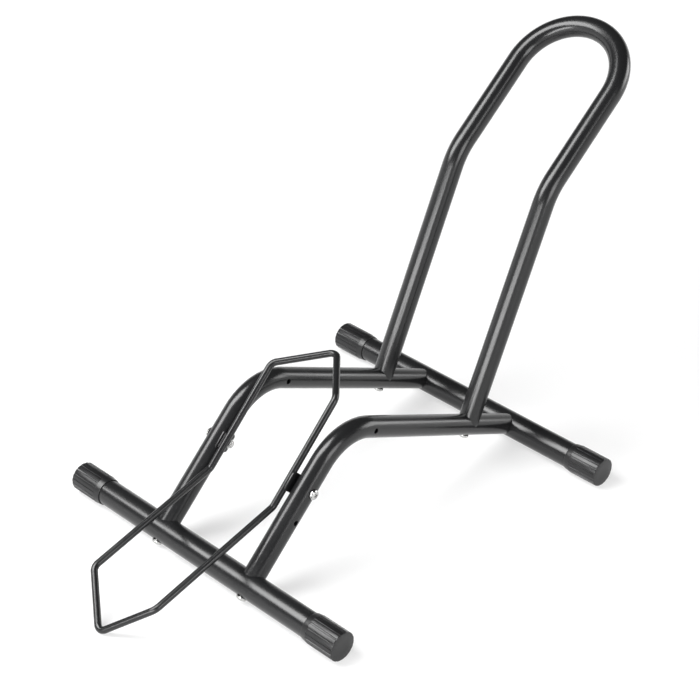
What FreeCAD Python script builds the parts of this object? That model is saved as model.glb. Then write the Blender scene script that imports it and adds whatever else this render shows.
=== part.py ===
import FreeCAD, Part

import math
import os

import Sketcher
from FreeCAD import Placement, Rotation, Vector

# Floor bike rack: two round cross bars on ribbed end caps, two bent side tubes that saddle the
# bars, a tall hoop that leans back from the side tubes, and a rocking wire cradle that a front
# wheel rolls into. Millimetres and degrees. +X is the rider's right, +Y the way the bicycle rolls
# in, +Z up. The floor is z = 0, and the origin is under the middle of the whole rack at rest.

SIZES = {
    # cross bars
    "bar_diameter": 30.0,
    "bar_wall": 1.5,
    "bar_length": 416.0,
    "bar_spacing": 426.0,
    # side tubes, measured along the axes of their legs
    "tube_diameter": 25.0,
    "tube_wall": 1.5,
    "tube_spacing": 138.0,
    "front_leg_angle": 43.7,
    "rear_leg_angle": 25.5,
    "side_bend_radius": 64.0,
    "pivot_distance": 118.4,
    "low_hole_distance": 82.4,
    "rear_hole_distance": 270.0,
    # hoop
    "hoop_foot_distance": 86.8,
    "hoop_lower_length": 289.0,
    "hoop_upper_length": 132.0,
    "hoop_upper_angle": 39.0,
    "hoop_bend_radius": 80.0,
    # end caps
    "cap_length": 46.0,
    "cap_diameter": 34.3,
    "cap_end_wall": 3.0,
    "cap_end_chamfer": 1.2,
    "cap_lip_step": 0.95,
    "cap_lip_round": 0.5,
    "cap_collar_length": 7.4,
    "cap_collar_step": 0.15,
    "groove_count": 18,
    "groove_width": 2.4,
    "groove_depth": 0.8,
    "foot_land_depth": 0.1,
    # wire cradle, measured along the wire's centre line between the corners of its bends
    "wire_diameter": 8.0,
    "upper_arm_length": 134.6,
    "lower_arm_length": 173.9,
    "arm_bend_angle": 30.5,
    "upper_fork_angle": 31.0,
    "lower_fork_angle": 30.5,
    "fork_depth": 53.7,
    "fork_tip_radius": 8.0,
    "fork_corner_radius": 12.0,
    "arm_bend_radius": 9.0,
    # cradle brackets, and the pivot's place on the wire
    "pivot_up_arm": 33.5,
    "pivot_behind_wire": 9.2,
    "bracket_thickness": 2.0,
    "bracket_length": 23.0,
    "bracket_front": 6.3,
    "bracket_rear": 6.3,
    "bracket_corner": 4.0,
    # fasteners
    "bolt_diameter": 6.0,
    "bolt_point": 0.8,
    "head_diameter": 12.0,
    "head_height": 4.0,
    "head_round": 2.6,
    "recess_depth": 2.2,
    "recess_span": 6.4,
    "recess_width": 1.3,
    "bolt_past_nut": 1.4,
    "thread_hold": 14.0,
    "nut_width": 10.0,
    "nut_hex_height": 4.6,
    "nut_collar_height": 1.4,
    "nut_collar_diameter": 8.8,
    "insert_length": 16.0,
    # clearances
    "seat_gap": 0.1,
    "running_gap": 0.08,
    "side_gap": 0.3,
    "insert_gap": 0.3,
    "stop_gap": 0.3,
    "floor_gap": 0.25,
}

LEFT = -1
RIGHT = 1
HEX_CORNER = 1 / math.sqrt(3)  # from a hexagon's width to its side length


def polar(length, angle):
    """A point of the side view (y, z) at a distance and an angle from +Y towards +Z."""
    return Vector(0, length * math.cos(math.radians(angle)), length * math.sin(math.radians(angle)))


def tip_setback(depth, half_width, radius):
    """How far a fork's rounded tip stands back from the corner that its two legs aim at."""
    half_angle = math.atan2(half_width, depth)
    return radius * (1 / math.sin(half_angle) - 1)


def work_out(s):
    """The places that follow from the driving sizes, by the names they have in the sheet."""
    out = {}
    out["wire_half_width"] = (
        (s["tube_spacing"] - s["tube_diameter"] - s["wire_diameter"]) / 2
        - s["side_gap"]
        - s["bracket_thickness"]
    )
    out["axis_height"] = s["cap_diameter"] / 2 - s["foot_land_depth"]

    # Side view of the hoop, from the front bar's axis.
    foot = Vector(0, s["bar_spacing"], 0) + polar(s["hoop_foot_distance"], 180 - s["rear_leg_angle"])
    knee = foot + polar(s["hoop_lower_length"], 90 - s["rear_leg_angle"])
    arch = knee + polar(s["hoop_upper_length"], s["hoop_upper_angle"])
    out["hoop_foot_y"], out["hoop_foot_z"] = foot.y, foot.z
    out["hoop_arch_y"], out["hoop_arch_z"] = arch.y, arch.z

    # Side view of the cradle, from its pivot, with the upper arm along +Y.
    bend = Vector(0, -s["pivot_up_arm"], s["pivot_behind_wire"])
    top = bend + polar(s["upper_arm_length"], 0)
    low = bend + polar(s["lower_arm_length"], 180 - s["arm_bend_angle"])
    low_fork_angle = 180 - s["arm_bend_angle"] + s["lower_fork_angle"]
    reach = s["fork_depth"] - tip_setback(s["fork_depth"], out["wire_half_width"], s["fork_tip_radius"])
    low_tip = low + polar(reach, low_fork_angle)
    top_tip = top + polar(reach, -s["upper_fork_angle"])

    # Rest: the lower fork's tip stands just above the floor.
    pivot = polar(s["pivot_distance"], s["front_leg_angle"])
    tip_height = s["wire_diameter"] / 2 + s["floor_gap"] - out["axis_height"]
    drop = (pivot.z - tip_height) / low_tip.Length
    tip_angle = math.degrees(math.atan2(low_tip.z, low_tip.y))
    rest = 180 + math.degrees(math.asin(drop)) - tip_angle
    out["cradle_rest_angle"] = rest
    out["pivot_y"], out["pivot_z"] = pivot.y, pivot.z

    # Stops: the lower arms down on the front bar, and the upper fork down on the floor.
    arm = polar(1, 180 - s["arm_bend_angle"])
    arm_offset = arm.y * bend.z - arm.z * bend.y
    reach_to_bar = (s["bar_diameter"] + s["wire_diameter"]) / 2 + s["stop_gap"]
    on_bar = math.degrees(math.asin((reach_to_bar + arm_offset) / s["pivot_distance"]))
    bar_angle = s["front_leg_angle"] + s["arm_bend_angle"] - on_bar
    out["cradle_down_stop"] = rest - bar_angle
    top_angle = math.degrees(math.atan2(top_tip.z, top_tip.y))
    floor_angle = -math.degrees(math.asin((pivot.z - tip_height) / top_tip.Length)) - top_angle
    out["cradle_up_stop"] = rest - floor_angle

    # The rack's reach along Y at rest, which puts the origin under its middle.
    front_reach = pivot.y + low_tip.Length * math.cos(math.radians(rest + tip_angle))
    front_reach -= s["wire_diameter"] / 2
    arch_radius = s["tube_spacing"] / 2
    rear_reach = arch.y + arch_radius * math.cos(math.radians(s["hoop_upper_angle"]))
    rear_reach += s["tube_diameter"] / 2
    out["front_axis_y"] = -(front_reach + rear_reach) / 2
    return out


class Size:
    """A value and the formula over the sheet's cells that gives it."""

    def __init__(self, value, formula):
        self.value = value
        self.formula = formula

    @staticmethod
    def of(other):
        return other if isinstance(other, Size) else Size(other, repr(other))

    def __add__(self, other):
        other = Size.of(other)
        return Size(self.value + other.value, f"({self.formula} + {other.formula})")

    def __sub__(self, other):
        other = Size.of(other)
        return Size(self.value - other.value, f"({self.formula} - {other.formula})")

    def __rsub__(self, other):
        return Size.of(other) - self

    def __mul__(self, other):
        other = Size.of(other)
        return Size(self.value * other.value, f"({self.formula} * {other.formula})")

    def __rmul__(self, other):
        return self * other

    def __truediv__(self, other):
        other = Size.of(other)
        return Size(self.value / other.value, f"({self.formula} / {other.formula})")

    def __neg__(self):
        return self * -1


class Sheet:
    """The document's table of sizes. Each is read as an attribute, such as sheet.bar_wall."""

    def __init__(self, doc, sizes, worked_out):
        self.cells = doc.addObject("Spreadsheet::Sheet", "Sizes")
        self.values = {**sizes, **worked_out}
        self.cells.set("A1", "size")
        self.cells.set("B1", "value")
        for row, (name, value) in enumerate(self.values.items(), start=2):
            self.cells.set(f"A{row}", name)
            self.cells.set(f"B{row}", f"{value:.9g}")
            self.cells.setAlias(f"B{row}", name)
        doc.recompute()

    def __getattr__(self, name):
        if name == "values" or name not in self.values:
            raise AttributeError(name)
        return Size(self.values[name], f"Sizes.{name}")


doc = FreeCAD.newDocument("floor_bike_rack")
worked_out = work_out(SIZES)
sheet = Sheet(doc, SIZES, worked_out)
nodes = []

bar_radius = sheet.bar_diameter / 2
tube_radius = sheet.tube_diameter / 2
tube_bore = tube_radius - sheet.tube_wall
half_spacing = sheet.tube_spacing / 2
cap_radius = sheet.cap_diameter / 2
bolt_radius = sheet.bolt_diameter / 2
bolt_hole = bolt_radius + sheet.seat_gap
pivot_hole = bolt_radius + sheet.running_gap
zero = Size(0.0, "0")


def bind(target, path, size):
    """Sets one property from a size, now and through its formula."""
    target.setExpression(path, Size.of(size).formula)


def place(piece, x, y, z, axis=Vector(1, 0, 0), angle=0.0):
    """Puts a piece's own origin at a point, turned about an axis."""
    piece.Placement = Placement(Vector(0, 0, 0), Rotation(axis, Size.of(angle).value))
    bind(piece, "Placement.Base.x", x)
    bind(piece, "Placement.Base.y", y)
    bind(piece, "Placement.Base.z", z)
    if isinstance(angle, Size):
        bind(piece, "Placement.Rotation.Angle", angle)


def new_body(name):
    body = doc.addObject("PartDesign::Body", name)
    body.Label = name
    return body


def origin_part(body, role):
    return next(part for part in body.Origin.OriginFeatures if part.Role == role)


# How each origin plane's own x, y and z lie in the body: a shift (x, y, z) in the body's axes.
PLANE_AXES = {
    "XY_Plane": lambda x, y, z: (x, y, z),
    "XZ_Plane": lambda x, y, z: (x, z, -y),
    "YZ_Plane": lambda x, y, z: (y, z, x),
}


class Drawing:
    """A sketch on one of a body's origin planes, shifted and turned, with bound dimensions."""

    def __init__(self, body, name, plane, shift=(zero, zero, zero), turn=None, about=Vector(0, 0, 1)):
        self.sketch = body.newObject("Sketcher::SketchObject", name)
        self.sketch.AttachmentSupport = (origin_part(body, plane), [""])
        self.sketch.MapMode = "FlatFace"
        angle = turn.value if turn else 0.0
        self.sketch.AttachmentOffset = Placement(Vector(0, 0, 0), Rotation(about, angle))
        for axis, size in zip("xyz", PLANE_AXES[plane](*[Size.of(part) for part in shift])):
            bind(self.sketch, f"AttachmentOffset.Base.{axis}", size)
        if turn:
            bind(self.sketch, "AttachmentOffset.Rotation.Angle", turn)

    def fix(self, kind, *where, size):
        """Adds one dimension and binds it."""
        value = math.radians(size.value) if kind == "Angle" else size.value
        index = self.sketch.addConstraint(Sketcher.Constraint(kind, *where, value))
        bind(self.sketch, f"Constraints[{index}]", size)

    def at(self, geometry, end, x, y):
        """Holds one end or centre of a line or circle at a point of the sketch."""
        self.fix("DistanceX", geometry, end, size=Size.of(x))
        self.fix("DistanceY", geometry, end, size=Size.of(y))

    def circle(self, x, y, radius):
        x, y = Size.of(x), Size.of(y)
        centre = Vector(x.value, y.value, 0)
        index = self.sketch.addGeometry(Part.Circle(centre, Vector(0, 0, 1), radius.value))
        self.at(index, 3, x, y)
        self.fix("Radius", index, size=radius)

    def polygon(self, corners):
        """A closed outline of straight lines through the given points."""
        corners = [(Size.of(x), Size.of(y)) for x, y in corners]
        points = [Vector(x.value, y.value, 0) for x, y in corners]
        first = self.sketch.GeometryCount
        count = len(points)
        for index in range(count):
            self.sketch.addGeometry(Part.LineSegment(points[index], points[(index + 1) % count]))
        for index, (x, y) in enumerate(corners):
            before = first + (index - 1) % count
            self.sketch.addConstraint(Sketcher.Constraint("Coincident", before, 2, first + index, 1))
            self.at(first + index, 1, x, y)

    def bent_line(self, start, start_angle, end, end_angle, radius):
        """Two straight runs joined by a tangent arc: a tube's centre line."""
        first, last = [Vector(p[0].value, p[1].value, 0) for p in (start, end)]
        one, two = [polar(1, angle.value) for angle in (start_angle, end_angle)]
        one, two = Vector(one.y, one.z, 0), Vector(two.y, two.z, 0)
        span = last - first
        along = (span.x * two.y - span.y * two.x) / (one.x * two.y - one.y * two.x)
        corner = first + one * along
        turn = one.getAngle(two)
        setback = radius.value * math.tan(turn / 2)
        side = math.copysign(1, one.x * two.y - one.y * two.x)
        centre = corner - one * setback + Vector(-one.y, one.x, 0) * side * radius.value
        middle = centre + (corner - centre).normalize() * radius.value
        ends = [corner - one * setback, corner + two * setback]
        self.sketch.addGeometry(Part.LineSegment(first, ends[0]))
        self.sketch.addGeometry(Part.Arc(ends[0], middle, ends[1]))
        self.sketch.addGeometry(Part.LineSegment(ends[1], last))
        arc_ends = (2, 1) if side < 0 else (1, 2)
        self.sketch.addConstraint(Sketcher.Constraint("Tangent", 0, 2, 1, arc_ends[0]))
        self.sketch.addConstraint(Sketcher.Constraint("Tangent", 1, arc_ends[1], 2, 1))
        self.at(0, 1, *start)
        self.at(2, 2, *end)
        self.fix("Angle", 0, size=start_angle)
        self.fix("Angle", 2, size=end_angle)
        self.fix("Radius", 1, size=radius)


def pad(body, name, drawing, length, both_ways=False):
    feature = body.newObject("PartDesign::Pad", name)
    feature.Profile = drawing.sketch
    feature.SideType = "Symmetric" if both_ways else "One side"
    bind(feature, "Length", length)
    return feature


def cut(body, name, drawing, length=None, both_ways=False, forward=False):
    """Cuts a sketch's shape away: through everything, or to a depth. Forward is along the normal."""
    feature = body.newObject("PartDesign::Pocket", name)
    feature.Profile = drawing.sketch
    feature.SideType = "Two sides" if both_ways else "One side"
    feature.Reversed = forward
    if length is None:
        feature.Type = "ThroughAll"
        if both_ways:
            feature.Type2 = "ThroughAll"
    else:
        bind(feature, "Length", length)
    return feature


def revolve(body, name, drawing, axis, angle=360.0):
    feature = body.newObject("PartDesign::Revolution", name)
    feature.Profile = drawing.sketch
    feature.ReferenceAxis = (drawing.sketch, [axis])
    feature.Angle = angle
    return feature


def pipe(body, name, section, path):
    feature = body.newObject("PartDesign::AdditivePipe", name)
    feature.Profile = section.sketch
    feature.Spine = (path.sketch, [])
    return feature


def round_edges(body, name, kind, size, feature, test):
    """Fillets or chamfers the edges of the last feature that pass a test."""
    doc.recompute()
    names = [f"Edge{i}" for i, edge in enumerate(feature.Shape.Edges, start=1) if test(edge)]
    rounded = body.newObject(f"PartDesign::{kind}", name)
    rounded.Base = (feature, names)
    bind(rounded, "Radius" if kind == "Fillet" else "Size", size)
    return rounded


def is_circle(edge, radius, height):
    """True for a full circle of a given radius at a given height on the piece's own Z axis."""
    curve = edge.Curve
    if not isinstance(curve, Part.Circle):
        return False
    return abs(curve.Radius - radius.value) < 0.01 and abs(curve.Center.z - height.value) < 0.01


def cross_bar(name, y, leg_angle):
    """A round tube, with a bolt hole for each side tube through both of its walls."""
    body = new_body(name)
    ring = Drawing(body, f"{name}_ring", "YZ_Plane")
    ring.circle(0, 0, bar_radius)
    ring.circle(0, 0, bar_radius - sheet.bar_wall)
    pad(body, f"{name}_tube", ring, sheet.bar_length, both_ways=True)
    holes = Drawing(body, f"{name}_bolt_circles", "XZ_Plane", turn=leg_angle, about=Vector(1, 0, 0))
    for side in (LEFT, RIGHT):
        holes.circle(half_spacing * side, 0, bolt_hole)
    cut(body, f"{name}_bolt_holes", holes, both_ways=True)
    place(body, zero, y, sheet.axis_height)
    nodes.append(body)


def end_cap(name, side, y):
    """A moulded cap over a bar's end: a plain collar, then ribs, and a flat land to stand on."""
    body = new_body(name)
    bore = bar_radius + sheet.seat_gap
    length = sheet.cap_length
    collar = sheet.cap_collar_length
    profile = Drawing(body, f"{name}_profile", "XY_Plane")
    profile.polygon(
        [
            (0, bore),
            (0, cap_radius - sheet.cap_lip_step),
            (collar, cap_radius - sheet.cap_collar_step),
            (collar, cap_radius),
            (length - sheet.cap_end_chamfer, cap_radius),
            (length, cap_radius - sheet.cap_end_chamfer),
            (length, 0),
            (length - sheet.cap_end_wall, 0),
            (length - sheet.cap_end_wall, bore),
        ]
    )
    shell = revolve(body, f"{name}_shell", profile, "H_Axis")
    lip = (cap_radius - sheet.cap_lip_step).value
    round_edges(
        body,
        f"{name}_lip",
        "Fillet",
        sheet.cap_lip_round,
        shell,
        lambda edge: isinstance(edge.Curve, Part.Circle)
        and abs(edge.Curve.Center.x) < 0.01
        and abs(edge.Curve.Radius - lip) < 0.01,
    )
    half_pitch = Size(180.0, "180") / sheet.groove_count
    shift = (collar, zero, zero)
    groove = Drawing(body, f"{name}_groove_section", "YZ_Plane", shift=shift, turn=half_pitch)
    floor = cap_radius - sheet.groove_depth
    outside = cap_radius + sheet.groove_depth
    half_width = sheet.groove_width / 2
    groove.polygon(
        [(-half_width, -outside), (half_width, -outside), (half_width, -floor), (-half_width, -floor)]
    )
    one_groove = cut(body, f"{name}_groove", groove, forward=True)
    ribs = body.newObject("PartDesign::PolarPattern", f"{name}_ribs")
    ribs.Originals = [one_groove]
    ribs.Axis = (origin_part(body, "X_Axis"), [""])
    ribs.Angle = 360
    bind(ribs, "Occurrences", sheet.groove_count)
    body.Tip = ribs
    land = Drawing(body, f"{name}_land_section", "YZ_Plane")
    rest = cap_radius - sheet.foot_land_depth
    land.polygon(
        [
            (-cap_radius, -outside),
            (cap_radius, -outside),
            (cap_radius, -rest),
            (-cap_radius, -rest),
        ]
    )
    cut(body, f"{name}_land", land, both_ways=True)
    mouth = sheet.bar_length / 2 + sheet.cap_end_wall - length
    place(body, mouth * side, y, sheet.axis_height, Vector(0, 0, 1), 0.0 if side == RIGHT else 180.0)
    nodes.append(body)


def side_tube(name, side):
    """A tube bent once over the two bars, saddled on both, with cross holes for the pivot."""
    body = new_body(name)
    path = Drawing(body, f"{name}_line", "YZ_Plane")
    rear = (sheet.bar_spacing, zero)
    path.bent_line(
        (zero, zero), sheet.front_leg_angle, rear, -sheet.rear_leg_angle, sheet.side_bend_radius
    )
    ring = Drawing(
        body, f"{name}_ring", "XZ_Plane", turn=sheet.front_leg_angle, about=Vector(1, 0, 0)
    )
    ring.circle(0, 0, tube_radius)
    ring.circle(0, 0, tube_bore)
    pipe(body, f"{name}_tube", ring, path)

    saddles = Drawing(body, f"{name}_saddle_circles", "YZ_Plane")
    for y in (zero, sheet.bar_spacing):
        saddles.circle(y, 0, bar_radius + sheet.seat_gap)
    cut(body, f"{name}_saddles", saddles, both_ways=True)

    front_holes = Drawing(body, f"{name}_front_circles", "YZ_Plane", turn=sheet.front_leg_angle)
    for distance in (sheet.low_hole_distance, sheet.pivot_distance):
        front_holes.circle(distance, 0, pivot_hole)
    cut(body, f"{name}_front_holes", front_holes, both_ways=True)

    up_rear_leg = 180 - sheet.rear_leg_angle
    rear_shift = (zero, sheet.bar_spacing, zero)
    rear_hole = Drawing(body, f"{name}_rear_circle", "YZ_Plane", shift=rear_shift, turn=up_rear_leg)
    rear_hole.circle(sheet.rear_hole_distance, 0, pivot_hole)
    cut(body, f"{name}_rear_hole", rear_hole, both_ways=True)

    hoop_hole = Drawing(
        body,
        f"{name}_hoop_circle",
        "XZ_Plane",
        shift=(zero, sheet.hoop_foot_y, sheet.hoop_foot_z),
        turn=90 - sheet.rear_leg_angle,
        about=Vector(1, 0, 0),
    )
    hoop_hole.circle(0, 0, bolt_hole)
    cut(body, f"{name}_hoop_hole", hoop_hole, both_ways=True)
    place(body, half_spacing * side, sheet.front_axis_y, sheet.axis_height)
    nodes.append(body)


def hoop():
    """A tube that stands on both side tubes, bends back on each leg and closes in a half circle."""
    body = new_body("hoop")
    foot = (sheet.hoop_foot_y, sheet.hoop_foot_z)
    arch = (sheet.hoop_arch_y, sheet.hoop_arch_z)
    lower_angle = 90 - sheet.rear_leg_angle
    path = Drawing(body, "hoop_leg_line", "YZ_Plane", shift=(half_spacing, zero, zero))
    path.bent_line(foot, lower_angle, arch, sheet.hoop_upper_angle, sheet.hoop_bend_radius)
    ring = Drawing(
        body,
        "hoop_leg_ring",
        "XZ_Plane",
        shift=(half_spacing, *foot),
        turn=lower_angle,
        about=Vector(1, 0, 0),
    )
    ring.circle(0, 0, tube_radius)
    ring.circle(0, 0, tube_bore)
    leg = pipe(body, "hoop_right_leg", ring, path)

    arch_ring = Drawing(
        body,
        "hoop_arch_ring",
        "XZ_Plane",
        shift=(zero, *arch),
        turn=sheet.hoop_upper_angle,
        about=Vector(1, 0, 0),
    )
    arch_ring.circle(half_spacing, 0, tube_radius)
    arch_ring.circle(half_spacing, 0, tube_bore)
    revolve(body, "hoop_arch", arch_ring, "V_Axis", 180.0)

    legs = body.newObject("PartDesign::Mirrored", "hoop_legs")
    legs.Originals = [leg]
    legs.MirrorPlane = (origin_part(body, "YZ_Plane"), [""])
    body.Tip = legs

    saddles = Drawing(
        body,
        "hoop_saddle_circles",
        "XZ_Plane",
        shift=(zero, *foot),
        turn=-sheet.rear_leg_angle,
        about=Vector(1, 0, 0),
    )
    for side in (LEFT, RIGHT):
        saddles.circle(half_spacing * side, 0, tube_radius + sheet.seat_gap)
    cut(body, "hoop_saddles", saddles, both_ways=True)
    place(body, zero, sheet.front_axis_y, sheet.axis_height)
    nodes.append(body)


def arc_between(centre, start, end):
    """The shorter arc round a centre from one point to another."""
    radius = (start - centre).Length
    middle = centre + ((start - centre) + (end - centre)).normalize() * radius
    return Part.Arc(start, middle, end).toShape()


def round_corner(before, corner, after, radius):
    """Where a tangent arc of a given radius leaves and joins the two runs at a corner."""
    back = (before - corner).normalize()
    ahead = (after - corner).normalize()
    half = back.getAngle(ahead) / 2
    setback = radius / math.tan(half)
    centre = corner + (back + ahead).normalize() * (radius / math.sin(half))
    return corner + back * setback, centre, corner + ahead * setback


def cradle_corners():
    """The corners of the wire's right half, from one fork's tip to the other's."""
    s = sheet.values
    rest = s["cradle_rest_angle"]
    pivot = Vector(0, s["front_axis_y"] + s["pivot_y"], s["axis_height"] + s["pivot_z"])
    side = Vector(s["wire_half_width"], 0, 0)
    bend = pivot - polar(s["pivot_up_arm"], rest) + polar(s["pivot_behind_wire"], rest + 90)
    low_arm = rest + 180 - s["arm_bend_angle"]
    top = bend + polar(s["upper_arm_length"], rest)
    low = bend + polar(s["lower_arm_length"], low_arm)
    top_tip = top + polar(s["fork_depth"], rest - s["upper_fork_angle"])
    low_tip = low + polar(s["fork_depth"], low_arm + s["lower_fork_angle"])
    return low_tip, low + side, bend + side, top + side, top_tip


def half_wire_edges():
    """The centre line of the wire's right half, cut at both forks' tips."""
    s = sheet.values
    low_tip, low, bend, top, top_tip = cradle_corners()
    low_mirror, top_mirror = [Vector(-point.x, point.y, point.z) for point in (low, top)]
    tip_centre, tip_end = round_corner(low_mirror, low_tip, low, s["fork_tip_radius"])[1:]
    first = tip_centre + (low_tip - tip_centre).normalize() * s["fork_tip_radius"]
    edges = [arc_between(tip_centre, first, tip_end)]
    reached = tip_end
    inner = [low_tip, low, bend, top, top_tip]
    radii = [s["fork_corner_radius"], s["arm_bend_radius"], s["fork_corner_radius"]]
    for index, radius in enumerate(radii, start=1):
        start, centre, end = round_corner(*inner[index - 1 : index + 2], radius)
        edges.append(Part.LineSegment(reached, start).toShape())
        edges.append(arc_between(centre, start, end))
        reached = end
    start, centre, end = round_corner(top, top_tip, top_mirror, s["fork_tip_radius"])
    last = centre + (top_tip - centre).normalize() * s["fork_tip_radius"]
    edges.append(Part.LineSegment(reached, start).toShape())
    edges.append(arc_between(centre, start, last))
    return edges, first


def cradle_loop():
    """One closed wire: two arms bent near the pivot, joined by a fork at each end."""
    edges, first = half_wire_edges()
    line = doc.addObject("Part::Feature", "wire_line")
    line.Shape = Part.Wire(edges)
    section = doc.addObject("Part::Circle", "wire_section")
    bind(section, "Radius", sheet.wire_diameter / 2)
    section.Placement = Placement(first, Rotation(Vector(0, 1, 0), 90))
    half = doc.addObject("Part::Sweep", "wire_right_half")
    half.Sections = [section]
    half.Spine = (line, [f"Edge{i}" for i in range(1, len(edges) + 1)])
    half.Solid = True
    mirrored = doc.addObject("Part::Mirroring", "wire_left_half")
    mirrored.Source = half
    mirrored.Normal = Vector(1, 0, 0)
    loop = doc.addObject("Part::MultiFuse", "cradle_loop")
    loop.Shapes = [half, mirrored]
    loop.Label = "cradle_loop"
    nodes.append(loop)


def cradle_bracket(name, side):
    """A sheet plate welded to the outer side of the wire, with the pivot's hole behind the wire."""
    body = new_body(name)
    inner = half_spacing - tube_radius - sheet.side_gap - sheet.bracket_thickness
    face = inner if side == RIGHT else -(inner + sheet.bracket_thickness)
    turn = sheet.cradle_rest_angle
    outline = Drawing(body, f"{name}_outline", "YZ_Plane", shift=(face, zero, zero), turn=turn)
    half_length = sheet.bracket_length / 2
    front = sheet.pivot_behind_wire + sheet.bracket_front
    rear = -sheet.bracket_rear
    outline.polygon(
        [(-half_length, rear), (half_length, rear), (half_length, front), (-half_length, front)]
    )
    outline.circle(0, 0, pivot_hole)
    plate = pad(body, f"{name}_plate", outline, sheet.bracket_thickness)
    round_edges(
        body,
        f"{name}_corners",
        "Fillet",
        sheet.bracket_corner,
        plate,
        lambda edge: isinstance(edge.Curve, Part.Line) and abs(edge.tangentAt(0).x) > 0.99,
    )
    place(body, zero, sheet.front_axis_y + sheet.pivot_y, sheet.axis_height + sheet.pivot_z)
    nodes.append(body)


def bolt(name, seat, tip):
    """A pan head bolt on its own Z axis: the head sits at seat, the shank runs down to tip."""
    body = new_body(name)
    top = seat + sheet.head_height
    profile = Drawing(body, f"{name}_profile", "XZ_Plane")
    profile.polygon(
        [
            (0, tip),
            (bolt_radius - sheet.bolt_point, tip),
            (bolt_radius, tip + sheet.bolt_point),
            (bolt_radius, seat),
            (sheet.head_diameter / 2, seat),
            (sheet.head_diameter / 2, top),
            (0, top),
        ]
    )
    blank = revolve(body, f"{name}_blank", profile, "V_Axis")
    head_edge = lambda edge: is_circle(edge, sheet.head_diameter / 2, top)
    round_edges(body, f"{name}_head", "Fillet", sheet.head_round, blank, head_edge)
    cross = Drawing(body, f"{name}_cross", "XY_Plane", shift=(zero, zero, top))
    long, short = sheet.recess_span / 2, sheet.recess_width / 2
    cross.polygon(
        [
            (-long, -short), (-short, -short), (-short, -long), (short, -long),
            (short, -short), (long, -short), (long, short), (short, short),
            (short, long), (-short, long), (-short, short), (-long, short),
        ]
    )
    cut(body, f"{name}_recess", cross, length=sheet.recess_depth)
    return body


def pair(name, one, x, y, z, angle):
    """Two like pieces, one on each side of the rack, as one node."""
    place(one, x, y, z, angle=angle)
    other = doc.addObject("Part::Mirroring", f"{name}_left")
    other.Source = one
    other.Normal = Vector(1, 0, 0)
    both = doc.addObject("Part::Compound", name)
    both.Links = [one, other]
    both.Label = name
    nodes.append(both)


def insert(name, seat):
    """A threaded plug pressed into a tube's end, with its outer face below the saddle."""
    body = new_body(name)
    top = -(seat + sheet.insert_gap)
    ring = Drawing(body, f"{name}_ring", "XY_Plane", shift=(zero, zero, top))
    ring.circle(0, 0, tube_bore - sheet.seat_gap)
    ring.circle(0, 0, bolt_radius + sheet.seat_gap)
    plug = pad(body, f"{name}_plug", ring, sheet.insert_length)
    plug.Reversed = True
    return body


def joint_fasteners(end, radius, y, z, leg_angle):
    """The bolts that pass a bar or tube into a leg's end, and the inserts that they screw into."""
    tip = -(radius + sheet.seat_gap + sheet.insert_gap + sheet.thread_hold)
    bolt_name, insert_name = end
    angle = leg_angle + 90
    pair(bolt_name, bolt(f"{bolt_name}_right", radius, tip), half_spacing, y, z, angle)
    plug = insert(f"{insert_name}_right", radius + sheet.seat_gap)
    pair(insert_name, plug, half_spacing, y, z, angle)


def lock_nut(name, side):
    """A hexagon nut with a round locking collar on its inner side."""
    body = new_body(name)
    face = -(tube_radius + sheet.side_gap + sheet.bracket_thickness)
    turn = sheet.cradle_rest_angle * side
    hexagon = Drawing(body, f"{name}_hexagon", "XY_Plane", shift=(zero, zero, face), turn=turn)
    flat = sheet.nut_width / 2
    corner = sheet.nut_width * HEX_CORNER
    hexagon.polygon(
        [
            (flat, -corner / 2), (flat, corner / 2), (0, corner),
            (-flat, corner / 2), (-flat, -corner / 2), (0, -corner),
        ]
    )
    hexagon.circle(0, 0, bolt_radius + sheet.seat_gap)
    pad(body, f"{name}_nut", hexagon, sheet.nut_hex_height).Reversed = True
    end = face - sheet.nut_hex_height
    collar = Drawing(body, f"{name}_collar_ring", "XY_Plane", shift=(zero, zero, end))
    collar.circle(0, 0, sheet.nut_collar_diameter / 2)
    collar.circle(0, 0, bolt_radius + sheet.seat_gap)
    pad(body, f"{name}_collar", collar, sheet.nut_collar_height).Reversed = True
    return body


def pivot(side_name, side):
    """One pivot of the cradle: its bolt turns in the side tube, and its nut holds the bracket."""
    seat = tube_radius + sheet.side_gap
    tip = -(seat + sheet.bracket_thickness + sheet.nut_hex_height)
    tip = tip - sheet.nut_collar_height - sheet.bolt_past_nut
    pieces = [bolt(f"{side_name}_pivot_bolt", seat, tip), lock_nut(f"{side_name}_pivot_nut", side)]
    for piece in pieces:
        place(
            piece,
            half_spacing * side,
            sheet.front_axis_y + sheet.pivot_y,
            sheet.axis_height + sheet.pivot_z,
            Vector(0, 1, 0),
            90.0 * side,
        )
        nodes.append(piece)


def save(folder):
    """Checks every object, then writes each node's shape to its own file."""
    doc.recompute()
    for thing in doc.Objects:
        bad = [word for word in ("Invalid", "Error") if word in thing.State]
        if bad:
            raise RuntimeError(f"{thing.Label}: {bad}")
    for node in nodes:
        if node.Shape.isNull() or not node.Shape.isValid():
            raise RuntimeError(f"{node.Label}: the shape is null or not valid")
    os.makedirs(folder, exist_ok=True)
    for node in nodes:
        node.Shape.exportStep(os.path.join(folder, f"{node.Label}.step"))
        box = node.Shape.BoundBox
        print(f"{node.Label}: {len(node.Shape.Solids)} solids, {node.Shape.Volume:.0f} mm3, "
              f"x {box.XMin:.2f} {box.XMax:.2f} y {box.YMin:.2f} {box.YMax:.2f} "
              f"z {box.ZMin:.2f} {box.ZMax:.2f}")


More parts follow.
